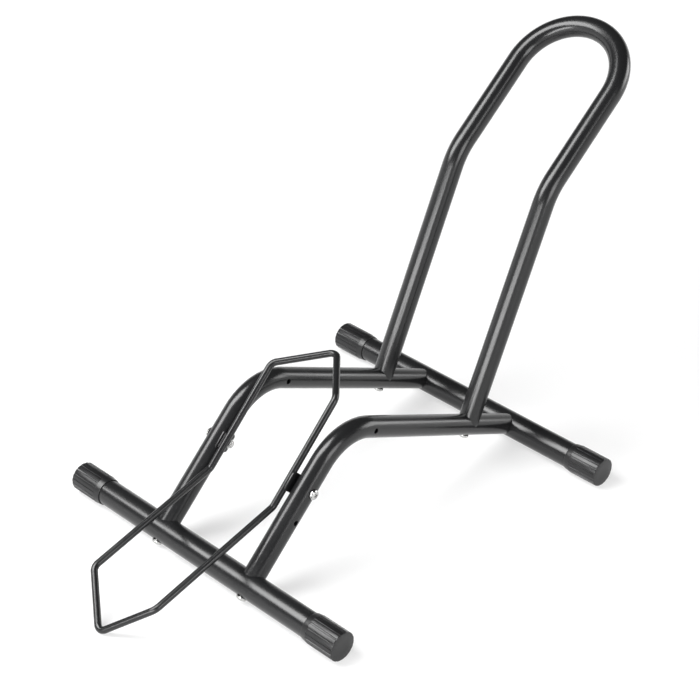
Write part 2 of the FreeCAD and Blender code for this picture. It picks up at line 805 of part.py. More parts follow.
rear_axis_y = sheet.front_axis_y + sheet.bar_spacing
cross_bar("front_bar", sheet.front_axis_y, sheet.front_leg_angle)
cross_bar("rear_bar", rear_axis_y, -sheet.rear_leg_angle)
for end, y in (("front", sheet.front_axis_y), ("rear", rear_axis_y)):
    end_cap(f"{end}_left_cap", LEFT, y)
    end_cap(f"{end}_right_cap", RIGHT, y)
side_tube("left_side_tube", LEFT)
side_tube("right_side_tube", RIGHT)
hoop()
cradle_loop()
cradle_bracket("left_cradle_bracket", LEFT)
cradle_bracket("right_cradle_bracket", RIGHT)
pivot("left", LEFT)
pivot("right", RIGHT)
front_fasteners = ("front_bar_bolts", "front_tube_inserts")
joint_fasteners(
    front_fasteners, bar_radius, sheet.front_axis_y, sheet.axis_height, sheet.front_leg_angle
)
rear_fasteners = ("rear_bar_bolts", "rear_tube_inserts")
joint_fasteners(
    rear_fasteners, bar_radius, rear_axis_y, sheet.axis_height, 180 - sheet.rear_leg_angle
)
hoop_fasteners = ("hoop_bolts", "hoop_inserts")
joint_fasteners(
    hoop_fasteners,
    tube_radius,
    sheet.front_axis_y + sheet.hoop_foot_y,
    sheet.axis_height + sheet.hoop_foot_z,
    90 - sheet.rear_leg_angle,
)
save("parts")
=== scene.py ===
import math
from collections import namedtuple
from dataclasses import dataclass

import bmesh
import bpy
from mathutils import Euler, Matrix, Vector


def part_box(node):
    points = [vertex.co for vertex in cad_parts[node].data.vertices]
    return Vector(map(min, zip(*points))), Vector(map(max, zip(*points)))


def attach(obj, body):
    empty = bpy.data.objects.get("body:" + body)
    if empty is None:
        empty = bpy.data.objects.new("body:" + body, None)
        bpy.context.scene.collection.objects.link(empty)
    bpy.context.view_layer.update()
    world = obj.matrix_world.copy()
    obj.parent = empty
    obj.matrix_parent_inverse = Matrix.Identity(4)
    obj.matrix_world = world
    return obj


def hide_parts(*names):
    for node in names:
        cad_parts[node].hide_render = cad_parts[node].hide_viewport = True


# Floor bike rack: the fine shapes and finishes of its tubes, feet, wire cradle and fasteners,
# placed where the frame's pieces stand. Metres. +X is the rider's right, +Y the way in, +Z up.

bl_info = {
    "name": "Floor bike rack",
    "version": (1, 0, 0),
    "blender": (4, 5, 0),
    "location": "View3D > Sidebar > Bike rack",
    "description": "Builds a floor bike rack's fine shapes and finishes on its frame",
    "category": "Object",
}

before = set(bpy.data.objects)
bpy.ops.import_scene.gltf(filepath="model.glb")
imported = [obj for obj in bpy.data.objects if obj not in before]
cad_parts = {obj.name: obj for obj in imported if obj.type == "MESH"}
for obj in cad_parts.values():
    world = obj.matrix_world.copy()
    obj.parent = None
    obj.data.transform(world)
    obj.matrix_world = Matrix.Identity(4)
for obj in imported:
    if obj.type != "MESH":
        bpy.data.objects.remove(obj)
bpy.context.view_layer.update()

MM = 0.001
FULL_TURN = 2 * math.pi
SIDES = {"left": -1, "right": 1}
ENDS = ("front", "rear")
COAT, PLASTIC, ZINC, STEEL = "black_powder_coat", "black_plastic", "zinc_plate", "plain_steel"


def length(about, millimetres):
    """A size that a user can change, written here in millimetres."""
    return bpy.props.FloatProperty(
        description=about, default=millimetres * MM, min=0.0, unit="LENGTH"
    )


def angle(about, degrees):
    return bpy.props.FloatProperty(
        description=about, default=math.radians(degrees), subtype="ANGLE"
    )


def count(about, number):
    return bpy.props.IntProperty(description=about, default=number, min=3)


def share(about, amount):
    return bpy.props.FloatProperty(
        description=about, default=amount, min=0.0, max=1.0, subtype="FACTOR"
    )


def colour(about, red, green, blue):
    return bpy.props.FloatVectorProperty(
        description=about, default=(red, green, blue), min=0.0, max=1.0, subtype="COLOR"
    )


class RackTubes(bpy.types.PropertyGroup):
    """Sizes of the cross bars, side tubes and hoop."""

    bar_wall: length("Wall of the cross bars", 1.5)
    tube_diameter: length("Outside of the side tubes and the hoop", 25.0)
    tube_wall: length("Wall of the side tubes and the hoop", 1.5)
    front_leg: angle("Slope of a side tube's front leg", 43.7)
    rear_leg: angle("Slope of a side tube's rear leg", 25.5)
    side_bend: length("Bend radius of a side tube's centre line", 64.0)
    low_hole: length("From the front bar's axis, up the front leg", 82.4)
    rear_hole: length("From the rear bar's axis, up the rear leg", 270.0)
    hoop_foot: length("From the rear bar's axis, up the rear leg", 86.8)
    hoop_lower: length("From the foot to the bend's corner", 289.0)
    hoop_upper: length("From the bend's corner to the round end", 132.0)
    hoop_lean: angle("Slope of the hoop's upper legs", 39.0)
    hoop_bend: length("Bend radius of a hoop leg's centre line", 80.0)
    seat_gap: length("Clearance where one tube saddles another", 0.1)
    bolt_hole: length("Radius of the holes that take a bolt", 3.1)
    cross_hole: length("Radius of the cross holes in the side tubes", 3.08)
    sides: count("Faces round a tube", 72)
    bend_steps: count("Rings along each bend", 28)


class RackFeet(bpy.types.PropertyGroup):
    """Sizes of the ribbed end caps that the rack stands on."""

    cap_length: length("Overall length of a cap", 46.0)
    diameter: length("Across the ribs", 34.3)
    end_wall: length("Thickness of the closed end", 3.0)
    end_round: length("Rounding of the closed end's edge", 1.1)
    lip_step: length("How much lower the mouth's edge is than the ribs", 1.15)
    lip_round: length("Rounding of the mouth's edge", 0.4)
    mouth_bevel: length("Bevel inside the mouth", 0.45)
    collar: length("Length of the plain collar at the mouth", 7.4)
    collar_step: length("How much lower the collar's end is than the ribs", 0.15)
    rib_run_in: length("Length over which a groove reaches its depth", 0.5)
    grooves: count("Number of grooves round a cap", 18)
    groove_width: length("Width of a groove at the ribs' crests", 2.4)
    groove_depth: length("Depth of a groove", 0.8)
    groove_draft: length("Width of each sloping side of a groove", 0.4)
    fit: length("Clearance between a cap and its bar", 0.1)
    steps_per_rib: count("Columns of faces across one rib and groove", 20)


class RackCradle(bpy.types.PropertyGroup):
    """Sizes of the bent wire and its two brackets."""

    wire: length("Diameter of the wire", 8.0)
    upper_arm: length("From the arm's bend to the upper fork", 134.6)
    lower_arm: length("From the arm's bend to the lower fork", 173.9)
    arm_bend: angle("Turn between the two arms", 30.5)
    upper_fork: angle("Turn from the upper arm into its fork", 31.0)
    lower_fork: angle("Turn from the lower arm into its fork", 30.5)
    fork_depth: length("Reach of a fork beyond the arms", 53.7)
    tip_radius: length("Bend radius at a fork's tip", 8.0)
    corner_radius: length("Bend radius where an arm meets a fork", 12.0)
    bend_radius: length("Bend radius between the two arms", 9.0)
    pivot_up_arm: length("From the arm's bend to the pivot, along the arm", 33.5)
    pivot_behind: length("From the wire's centre line to the pivot", 9.2)
    plate_length: length("Length of a bracket along the arm", 23.0)
    plate_front: length("How far a bracket reaches past the wire's line", 6.3)
    plate_rear: length("How far a bracket reaches behind the pivot", 6.3)
    plate_corner: length("Rounding of a bracket's corners", 4.0)
    plate_edge: length("Softening of a bracket's edges", 0.35)
    weld: length("Width of the weld between wire and bracket", 2.6)
    weld_ripple: length("Spacing of the ripples along a weld", 1.7)
    sides: count("Faces round the wire", 32)
    bend_steps: count("Rings along each bend", 14)


class RackFasteners(bpy.types.PropertyGroup):
    """Sizes of the bolts and lock nuts."""

    bolt: length("Diameter of the bolts' thread", 6.0)
    pitch: length("Pitch of the thread", 1.0)
    thread_depth: length("Depth of the thread", 0.55)
    thread: length("Length of the thread from the tip", 14.0)
    point: length("Bevel at a bolt's tip", 0.8)
    head: length("Diameter of a bolt's head", 12.0)
    head_height: length("Height of a bolt's head", 4.0)
    head_side: length("Upright edge under the dome", 0.9)
    recess: length("Span of the cross recess", 6.4)
    recess_slot: length("Width of the cross recess's arms", 1.3)
    recess_depth: length("Depth of the cross recess", 2.2)
    nut: length("Width across a nut's flats", 10.0)
    nut_height: length("Height of a nut's hexagon", 4.6)
    collar: length("Diameter of a nut's locking collar", 8.8)
    collar_height: length("Height of a nut's locking collar", 1.4)
    bolt_gap: length("Clearance between a nut and its bolt", 0.1)
    sides: count("Faces round a bolt", 48)
    rings_per_pitch: count("Rings of faces along one turn of thread", 8)


class RackFinishes(bpy.types.PropertyGroup):
    """Colours and gloss of the rack's finishes."""

    coat: colour("Black powder coat on tubes, wire and brackets", 0.0095, 0.0097, 0.0102)
    coat_roughness: share("Roughness of the powder coat", 0.24)
    plastic: colour("Moulded plastic of the end caps", 0.0075, 0.0075, 0.008)
    plastic_roughness: share("Roughness of the moulded plastic", 0.33)
    zinc: colour("Bright zinc plate on bolts and nuts", 0.6, 0.6, 0.59)
    zinc_roughness: share("Roughness of the zinc plate", 0.2)
    steel: colour("Plain steel of the threaded inserts", 0.42, 0.42, 0.43)
    steel_roughness: share("Roughness of the plain steel", 0.42)


class RackStage(bpy.types.PropertyGroup):
    """Camera, lights and floor."""

    camera_place: bpy.props.FloatVectorProperty(
        description="Place of the camera",
        default=(1.31703, -1.34885, 1.38764),
        unit="LENGTH",
        subtype="TRANSLATION",
    )
    camera_turn: angle("Turn of the camera round the rack", 44.750)
    camera_pitch: angle("Height of the camera above level", 32.785)
    lens: bpy.props.FloatProperty(
        description="Focal length in millimetres", default=102.82, unit="CAMERA"
    )
    floor_colour: colour("Colour of the floor", 0.4, 0.4, 0.4)
    surround: share("Brightness of the room round the rack", 0.07)
    light_level: bpy.props.FloatProperty(
        description="Strength of all soft lights", default=1.0, min=0.0
    )


GROUPS = {
    "rack_tubes": RackTubes,
    "rack_feet": RackFeet,
    "rack_cradle": RackCradle,
    "rack_fasteners": RackFasteners,
    "rack_finishes": RackFinishes,
    "rack_stage": RackStage,
}


# Node trees


class Value:
    """A node's output that can stand in a sum."""

    def __init__(self, graph, socket):
        self.graph = graph
        self.socket = socket

    def maths(self, operation, first, second):
        return self.graph.node("ShaderNodeMath", {"operation": operation}, {0: first, 1: second})

    def __add__(self, other):
        return self.maths("ADD", self, other)

    __radd__ = __add__

    def __sub__(self, other):
        return self.maths("SUBTRACT", self, other)

    def __rsub__(self, other):
        return self.maths("SUBTRACT", other, self)

    def __mul__(self, other):
        return self.maths("MULTIPLY", self, other)

    __rmul__ = __mul__


class Graph:
    """A node tree that is written as calls."""

    def __init__(self, tree):
        self.tree = tree
        tree.nodes.clear()

    def node(self, kind, settings=None, inputs=None, output=0):
        """Adds a node, sets it up, fills its inputs and returns one of its outputs."""
        node = self.tree.nodes.new(kind)
        for name, value in (settings or {}).items():
            setattr(node, name, value)
        for name, value in (inputs or {}).items():
            if isinstance(value, Value):
                self.tree.links.new(value.socket, node.inputs[name])
            else:
                node.inputs[name].default_value = value
        return Value(self, node.outputs[output]) if node.outputs else None


def new_material(name, colour_value):
    material = bpy.data.materials.new(name)
    material.use_nodes = True
    material.diffuse_color = (*colour_value, 1.0)
    return material, Graph(material.node_tree)


@dataclass
class Look:
    """How a finish varies over a surface. Scales are in noise cells a metre."""

    size: str  # the finish's colour and roughness, by their names in RackFinishes
    cloud_scale: float
    grain_scale: float
    darkest: float  # of the finish's colour
    lightest: float
    cloudy_gloss: float  # swing of the roughness with the cloud
    grainy_gloss: float = 0.0
    cloud_share: float = 1.0  # of the colour's pattern; the grain has the rest
    cloud_detail: float = 4.0
    grain_detail: float = 2.0
    grain_roughness: float = 0.5
    peel_scale: float = 0.0  # orange peel in the relief, where there is any
    peel_share: float = 0.0
    relief: float = 0.02 * MM
    relief_strength: float = 0.5
    metallic: float = 0.0


LOOKS = {
    COAT: Look(
        size="coat", cloud_scale=22.0, grain_scale=2600.0, darkest=0.8, lightest=1.5,
        cloudy_gloss=0.16, grainy_gloss=0.1, cloud_share=0.6, peel_scale=620.0, peel_share=0.7,
    ),
    PLASTIC: Look(
        size="plastic", cloud_scale=60.0, grain_scale=1500.0, darkest=0.75, lightest=1.6,
        cloudy_gloss=0.2, cloud_share=0.5, cloud_detail=3.0, grain_detail=3.0, grain_roughness=0.6,
    ),
    ZINC: Look(
        size="zinc", cloud_scale=260.0, grain_scale=2200.0, darkest=0.72, lightest=1.1,
        cloudy_gloss=0.22, relief_strength=0.4, metallic=1.0,
    ),
    STEEL: Look(
        size="steel", cloud_scale=140.0, grain_scale=1800.0, darkest=0.6, lightest=1.15,
        cloudy_gloss=0.25, relief=0.04 * MM, metallic=1.0,
    ),
}

# A Mix node's colour sockets, whose names its other sockets share.
MIX_FROM, MIX_TO, MIX_RESULT = 6, 7, 2


def make_finish(finishes, slot_name):
    """One finish, whose colour, gloss and relief vary with a cloud, a grain and any orange peel."""
    look = LOOKS[slot_name]
    rgb = getattr(finishes, look.size)
    material, graph = new_material(slot_name, rgb)
    place = graph.node("ShaderNodeTexCoord", output="Object")

    def noise(scale, detail, roughness=0.5):
        inputs = {"Vector": place, "Scale": scale, "Detail": detail, "Roughness": roughness}
        return graph.node("ShaderNodeTexNoise", None, inputs)

    cloud = noise(look.cloud_scale, look.cloud_detail)
    grain = noise(look.grain_scale, look.grain_detail, look.grain_roughness)
    pattern = cloud * look.cloud_share + grain * (1 - look.cloud_share)
    height = grain
    if look.peel_share:
        height = noise(look.peel_scale, 1.0) * look.peel_share + grain * (1 - look.peel_share)
    roughness = getattr(finishes, f"{look.size}_roughness") + (cloud - 0.5) * look.cloudy_gloss
    if look.grainy_gloss:
        roughness += (grain - 0.5) * look.grainy_gloss
    dark = [channel * look.darkest for channel in rgb]
    light = [min(channel * look.lightest, 1.0) for channel in rgb]
    base = graph.node(
        "ShaderNodeMix",
        {"data_type": "RGBA"},
        {"Factor": pattern, MIX_FROM: (*dark, 1.0), MIX_TO: (*light, 1.0)},
        output=MIX_RESULT,
    )
    relief = {"Height": height, "Distance": look.relief, "Strength": look.relief_strength}
    inputs = {
        "Base Color": base,
        "Roughness": roughness,
        "Normal": graph.node("ShaderNodeBump", None, relief),
        "Metallic": look.metallic,
    }
    shader = graph.node("ShaderNodeBsdfPrincipled", None, inputs)
    graph.node("ShaderNodeOutputMaterial", None, {"Surface": shader})
    return material


def finish(context, slot_name):
    """The material of one of the record's slots, made when it is first asked for."""
    for material in bpy.data.materials:
        if material.get("fine_finish") == slot_name:
            return material
    material = make_finish(context.scene.rack_finishes, slot_name)
    material["fine_finish"] = slot_name
    return material


# Meshes

# Points nearer than this are made one, and edges that turn less than this are shaded smooth.
MERGE_DISTANCE = 0.002 * MM
SMOOTH_ANGLE = math.radians(32)
SADDLE_SIDES = 96
DRILL_SIDES = 48


def new_object(name, mesh):
    piece = bpy.data.objects.new(name, mesh)
    bpy.context.scene.collection.objects.link(piece)
    return piece


def line_mesh(name, points, radii, closed=False):
    """A line of straight runs, with the radius of the bend at each of its points."""
    mesh = bpy.data.meshes.new(name)
    total = len(points)
    edges = [(i, i + 1) for i in range(total - 1)]
    if closed:
        edges.append((total - 1, 0))
    mesh.from_pydata(points, edges, [])
    mesh.attributes.new("bend_radius", "FLOAT", "POINT").data.foreach_set("value", radii)
    return mesh


def round_ring(sides, height, reach):
    """Points round Z at a height. Reach is a radius, or gives one for each turn."""
    ring = []
    for index in range(sides):
        turn = FULL_TURN * index / sides
        radius = reach(turn) if callable(reach) else reach
        ring.append(Vector((radius * math.cos(turn), radius * math.sin(turn), height)))
    return ring


def ring_mesh(name, rings, ends):
    """Faces between rings of points. Ends: 'flat' or 'poles' closes both, 'joined' joins them."""
    shape = bmesh.new()
    loops = [[shape.verts.new(point) for point in ring] for ring in rings]
    pairs = list(zip(loops, loops[1:]))
    if ends == "joined":
        pairs.append((loops[-1], loops[0]))
    for one, other in pairs:
        around = len(one)
        for i in range(around):
            j = (i + 1) % around
            shape.faces.new((one[i], one[j], other[j], other[i]))
    if ends == "flat":
        shape.faces.new(loops[0])
        shape.faces.new(loops[-1])
    if ends == "poles":
        for loop in (loops[0], loops[-1]):
            pole = shape.verts.new(sum((vert.co for vert in loop), Vector()) / len(loop))
            for i, vert in enumerate(loop):
                shape.faces.new((vert, loop[(i + 1) % len(loop)], pole))
    bmesh.ops.recalc_face_normals(shape, faces=shape.faces)
    mesh = bpy.data.meshes.new(name)
    shape.to_mesh(mesh)
    shape.free()
    return mesh


def rods_object(name, rods, sides):
    """Closed cylinders, each from (one end, other end, radius), as one cutting tool."""
    shape = bmesh.new()
    for start, end, radius in rods:
        along = end - start
        turn = along.to_track_quat("Z", "Y").to_matrix().to_4x4()
        place = Matrix.Translation((start + end) / 2) @ turn
        bmesh.ops.create_cone(
            shape,
            cap_ends=True,
            segments=sides,
            radius1=radius,
            radius2=radius,
            depth=along.length,
            matrix=place,
        )
    mesh = bpy.data.meshes.new(name)
    shape.to_mesh(mesh)
    shape.free()
    return new_object(name, mesh)


def keep_result(name, source, smooth_angle=SMOOTH_ANGLE):
    """A source's finished shape as a plain mesh object. The source is deleted."""
    depsgraph = bpy.context.evaluated_depsgraph_get()
    mesh = bpy.data.meshes.new_from_object(source.evaluated_get(depsgraph), depsgraph=depsgraph)
    bpy.data.objects.remove(source)
    shape = bmesh.new()
    shape.from_mesh(mesh)
    bmesh.ops.remove_doubles(shape, verts=shape.verts, dist=MERGE_DISTANCE)
    for face in shape.faces:
        face.smooth = True
    for edge in shape.edges:
        edge.smooth = len(edge.link_faces) != 2 or edge.calc_face_angle() < smooth_angle
    shape.to_mesh(mesh)
    shape.free()
    mesh.name = name
    return new_object(name, mesh)


def source_object(context, name, mesh, slot_name):
    """A mesh in its finish, ready for modifiers and keep_result."""
    source = new_object(f"{name}_source", mesh)
    source.data.materials.append(finish(context, slot_name))
    return source


def run_tree(name, source_mesh, tree, inputs):
    """Runs a geometry tree on a mesh and keeps what it makes."""
    source = new_object(f"{name}_source", source_mesh)
    modifier = source.modifiers.new("Tree", "NODES")
    modifier.node_group = tree
    sockets = {item.name: item.identifier for item in tree.interface.items_tree}
    for label, value in inputs.items():
        modifier[sockets[label]] = value
    return keep_result(name, source)


def carve(piece, tool):
    """Cuts a tool's shape out of a piece once keep_result runs."""
    cut = piece.modifiers.new("Cut", "BOOLEAN")
    cut.operation = "DIFFERENCE"
    cut.solver = "EXACT"
    cut.object = tool


def new_tree(name, sockets):
    """An empty geometry tree with named inputs and one geometry output."""
    tree = bpy.data.node_groups.new(name, "GeometryNodeTree")
    for label, kind in sockets.items():
        tree.interface.new_socket(label, in_out="INPUT", socket_type=f"NodeSocket{kind}")
    tree.interface.new_socket("Shape", in_out="OUTPUT", socket_type="NodeSocketGeometry")
    graph = Graph(tree)
    given = tree.nodes.new("NodeGroupInput")
    values = {label: Value(graph, given.outputs[label]) for label in sockets}
    return tree, graph, values


def close_tree(graph, shape, material):
    """Ends a tree with plain geometry in one finish."""
    shape = graph.node("GeometryNodeRealizeInstances", None, {"Geometry": shape})
    shape = graph.node("GeometryNodeSetMaterial", None, {"Geometry": shape, "Material": material})
    graph.node("NodeGroupOutput", None, {"Shape": shape})


def placed_object(graph, inputs):
    """The shape of an object that a tree is given, as its own mesh has it."""
    settings = {"transform_space": "ORIGINAL"}
    return graph.node("GeometryNodeObjectInfo", settings, inputs, output="Geometry")


# How far a tube's bore runs past both ends before it is cut out.
BORE_OVERRUN = 5 * MM


def bent_tube_tree():
    """A tube or wire that follows a line, rounds its corners and is cut by a tool."""
    name = "Bent tube"
    if name in bpy.data.node_groups:
        return bpy.data.node_groups[name]
    sockets = {
        "Line": "Geometry",
        "Radius": "Float",
        "Hollow": "Bool",
        "Bore radius": "Float",
        "Sides": "Int",
        "Bend steps": "Int",
        "Cut": "Bool",
        "Tool": "Object",
        "Finish": "Material",
    }
    tree, graph, given = new_tree(name, sockets)
    line = graph.node("GeometryNodeMeshToCurve", None, {"Mesh": given["Line"]})
    bend_radius = graph.node(
        "GeometryNodeInputNamedAttribute", {"data_type": "FLOAT"}, {"Name": "bend_radius"}
    )
    inputs = {"Curve": line, "Count": given["Bend steps"], "Radius": bend_radius}
    inputs["Limit Radius"] = True
    line = graph.node("GeometryNodeFilletCurve", {"mode": "POLY"}, inputs)

    def swept(along, radius):
        inputs = {"Resolution": given["Sides"], "Radius": radius}
        ring = graph.node("GeometryNodeCurvePrimitiveCircle", {"mode": "RADIUS"}, inputs)
        inputs = {"Curve": along, "Profile Curve": ring, "Fill Caps": True}
        return graph.node("GeometryNodeCurveToMesh", None, inputs)

    tangent = graph.node("GeometryNodeInputTangent")
    longer = line
    for start, end in ((1, 0), (0, 1)):
        inputs = {"Start Size": start, "End Size": end}
        at_end = graph.node("GeometryNodeCurveEndpointSelection", None, inputs)
        inputs = {"Vector": tangent, "Scale": BORE_OVERRUN * (end - start)}
        outwards = graph.node("ShaderNodeVectorMath", {"operation": "SCALE"}, inputs)
        inputs = {"Geometry": longer, "Selection": at_end, "Offset": outwards}
        longer = graph.node("GeometryNodeSetPosition", None, inputs)

    def without(switch, shape, tool):
        how = {"operation": "DIFFERENCE", "solver": "EXACT"}
        cut = graph.node("GeometryNodeMeshBoolean", how, {"Mesh 1": shape, "Mesh 2": tool})
        inputs = {"Switch": switch, "False": shape, "True": cut}
        return graph.node("GeometryNodeSwitch", {"input_type": "GEOMETRY"}, inputs)

    tool = placed_object(graph, {"Object": given["Tool"]})
    solid = without(given["Cut"], swept(line, given["Radius"]), tool)
    solid = without(given["Hollow"], solid, swept(longer, given["Bore radius"]))
    close_tree(graph, solid, given["Finish"])
    return tree


def placed_tree():
    """The same fastener at every point of a mesh, turned alike."""
    name = "Placed fasteners"
    if name in bpy.data.node_groups:
        return bpy.data.node_groups[name]
    sockets = {"Points": "Geometry", "Fastener": "Object", "Turn": "Vector", "Finish": "Material"}
    tree, graph, given = new_tree(name, sockets)
    fastener = placed_object(graph, {"Object": given["Fastener"], "As Instance": True})
    inputs = {"Points": given["Points"], "Instance": fastener, "Rotation": given["Turn"]}
    placed = graph.node("GeometryNodeInstanceOnPoints", None, inputs)
    close_tree(graph, placed, given["Finish"])
    return tree


def settle(piece, body, slot_name, *nodes):
    """Ties a finished piece to its body and hides the nodes that it stands for; its finish is not
    used.
    """
    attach(piece, body)
    if nodes:
        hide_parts(*nodes)


# Places, all read from the frame or worked out from it


def side_point(distance, slope):
    """A point of the side view at a distance and a slope from +Y towards +Z."""
    return Vector((0.0, distance * math.cos(slope), distance * math.sin(slope)))


def middle(node):
    low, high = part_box(node)
    return (low + high) / 2


Bar = namedtuple("Bar", "centre radius half")


def bar_place(end):
    """A cross bar's middle, radius and half length."""
    low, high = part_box(f"{end}_bar")
    return Bar(centre=(low + high) / 2, radius=(high.z - low.z) / 2, half=(high.x - low.x) / 2)


def tube_offset():
    """How far each side tube stands from the middle plane."""
    return Vector((middle("right_side_tube").x, 0.0, 0.0))


def legs_meet(tubes):
    """Where the lines of a side tube's two legs cross, in the side view."""
    front, rear = [bar_place(end).centre for end in ENDS]
    span = rear - front
    rise = math.tan(tubes.front_leg) + math.tan(tubes.rear_leg)
    along = (span.z + span.y * math.tan(tubes.rear_leg)) / rise
    return front + Vector((0.0, along, along * math.tan(tubes.front_leg)))


def hoop_line(tubes):
    """The hoop's foot, bend and round end's corner, in the side view."""
    rear = bar_place("rear").centre
    foot = rear + side_point(tubes.hoop_foot, math.pi - tubes.rear_leg)
    bend = foot + side_point(tubes.hoop_lower, math.pi / 2 - tubes.rear_leg)
    crown = bend + side_point(tubes.hoop_upper + tube_offset().x, tubes.hoop_lean)
    return foot, bend, crown


def pivot_place():
    return Vector((0.0, *middle("right_pivot_bolt").yz))


def wire_half_width(cradle):
    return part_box("cradle_loop")[1].x - cradle.wire / 2


def lower_tip_from_pivot(cradle):
    """From the pivot to the lower fork's rounded tip, with the upper arm along +Y."""
    bend = Vector((0.0, -cradle.pivot_up_arm, cradle.pivot_behind))
    low = bend + side_point(cradle.lower_arm, math.pi - cradle.arm_bend)
    half_tip = math.atan2(wire_half_width(cradle), cradle.fork_depth)
    setback = cradle.tip_radius * (1 / math.sin(half_tip) - 1)
    slope = math.pi - cradle.arm_bend + cradle.lower_fork
    return low + side_point(cradle.fork_depth - setback, slope)


def arm_slope(cradle):
    """The upper arms' slope at rest, when the lower fork's tip is as low as the frame has it."""
    tip = lower_tip_from_pivot(cradle)
    drop = pivot_place().z - (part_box("cradle_loop")[0].z + cradle.wire / 2)
    return math.pi + math.asin(drop / tip.length) - math.atan2(tip.z, tip.y)


def cradle_corners(cradle):
    """The corners of the wire's right half, from the lower tip to the upper tip."""
    slope = arm_slope(cradle)
    side = Vector((wire_half_width(cradle), 0.0, 0.0))
    bend = pivot_place() - side_point(cradle.pivot_up_arm, slope)
    bend += side_point(cradle.pivot_behind, slope + math.pi / 2)
    low_slope = slope + math.pi - cradle.arm_bend
    top = bend + side_point(cradle.upper_arm, slope)
    low = bend + side_point(cradle.lower_arm, low_slope)
    top_tip = top + side_point(cradle.fork_depth, slope - cradle.upper_fork)
    low_tip = low + side_point(cradle.fork_depth, low_slope + cradle.lower_fork)
    return low_tip, low + side, bend + side, top + side, top_tip


def mirrored(point):
    return Vector((-point.x, point.y, point.z))


# Pieces


def make_tube(context, name, line, radius, wall, tool, sizes, body, node):
    """One bent tube in a node's place, or a solid wire where the wall is none."""
    inputs = {
        "Radius": radius,
        "Hollow": wall > 0,
        "Bore radius": radius - wall,
        "Sides": sizes.sides,
        "Bend steps": sizes.bend_steps,
        "Cut": tool is not None,
        "Finish": finish(context, COAT),
    }
    if tool:
        inputs["Tool"] = tool
    piece = run_tree(name, line, bent_tube_tree(), inputs)
    if tool:
        bpy.data.objects.remove(tool)
    settle(piece, body, COAT, node)


class RACK_OT_cross_bars(bpy.types.Operator):
    """Make the two cross bars, each a round tube drilled for two bolts"""

    bl_idname = "rack.cross_bars"
    bl_label = "Cross bars"

    def execute(self, context):
        tubes = context.scene.rack_tubes
        slopes = {"front": tubes.front_leg, "rear": math.pi - tubes.rear_leg}
        for end in ENDS:
            bar = bar_place(end)
            half = Vector((bar.half, 0.0, 0.0))
            through = side_point(2 * bar.radius, slopes[end])
            holes = []
            for side in SIDES.values():
                middle_of_hole = bar.centre + tube_offset() * side
                holes.append((middle_of_hole - through, middle_of_hole + through, tubes.bolt_hole))
            line = line_mesh(f"{end}_bar_line", [bar.centre - half, bar.centre + half], [0.0, 0.0])
            tool = rods_object(f"{end}_bar_drill", holes, DRILL_SIDES)
            name, node = f"{end}_bar_tube", f"{end}_bar"
            make_tube(context, name, line, bar.radius, tubes.bar_wall, tool, tubes, "frame", node)
        return {"FINISHED"}


class RACK_OT_side_tubes(bpy.types.Operator):
    """Make the two side tubes, bent once, saddled on both bars and cross drilled"""

    bl_idname = "rack.side_tubes"
    bl_label = "Side tubes"

    def execute(self, context):
        tubes = context.scene.rack_tubes
        front, rear = [bar_place(end) for end in ENDS]
        foot = hoop_line(tubes)[0]
        radius = tubes.tube_diameter / 2
        hoop_way = side_point(2 * radius, math.pi / 2 - tubes.rear_leg)
        reach = Vector((2 * radius, 0.0, 0.0))
        cross_holes = [
            front.centre + side_point(tubes.low_hole, tubes.front_leg),
            pivot_place(),
            rear.centre + side_point(tubes.rear_hole, math.pi - tubes.rear_leg),
        ]
        for name, side in SIDES.items():
            offset = tube_offset() * side
            cuts = [(bar.centre, reach, bar.radius + tubes.seat_gap) for bar in (front, rear)]
            cuts += [(hole, reach, tubes.cross_hole) for hole in cross_holes]
            cuts.append((foot, hoop_way, tubes.bolt_hole))
            rods = [(at + offset - way, at + offset + way, size) for at, way, size in cuts]
            points = [front.centre + offset, legs_meet(tubes) + offset, rear.centre + offset]
            line = line_mesh(f"{name}_side_line", points, [0.0, tubes.side_bend, 0.0])
            tool = rods_object(f"{name}_side_tools", rods, SADDLE_SIDES)
            node = f"{name}_side_tube"
            made = f"{node}_bent"
            make_tube(context, made, line, radius, tubes.tube_wall, tool, tubes, "frame", node)
        return {"FINISHED"}


# How much tighter than half the hoop's width its round end is, so that two bends fit side by side.
ARCH_SLACK = 0.02 * MM


class RACK_OT_hoop(bpy.types.Operator):
    """Make the hoop, bent back on both legs and round at the top"""

    bl_idname = "rack.hoop"
    bl_label = "Hoop"

    def execute(self, context):
        tubes = context.scene.rack_tubes
        side_points = hoop_line(tubes)
        offset = tube_offset()
        points = [point + offset for point in side_points]
        points += [point - offset for point in reversed(side_points)]
        arch = offset.x - ARCH_SLACK
        radii = [0.0, tubes.hoop_bend, arch, arch, tubes.hoop_bend, 0.0]
        radius = tubes.tube_diameter / 2
        along_leg = side_point(3 * radius, -tubes.rear_leg)
        saddles = []
        for side in SIDES.values():
            foot = side_points[0] + offset * side
            saddles.append((foot - along_leg, foot + along_leg, radius + tubes.seat_gap))
        line = line_mesh("hoop_line", points, radii)
        tool = rods_object("hoop_saddle_tools", saddles, SADDLE_SIDES)
        wall = tubes.tube_wall
        make_tube(context, "hoop_bent", line, radius, wall, tool, tubes, "frame", "hoop")
        return {"FINISHED"}


def groove_share(feet, turn):
    """How deep the grooves are at a turn round a cap, from 0 on a rib to 1 in a groove."""
    pitch = FULL_TURN / feet.grooves
    from_groove = abs((turn + pitch / 2) % pitch - pitch / 2) * feet.diameter / 2
    edge = feet.groove_width / 2 - from_groove
    part = min(max(edge / feet.groove_draft, 0.0), 1.0)
    return part * part * (3 - 2 * part)


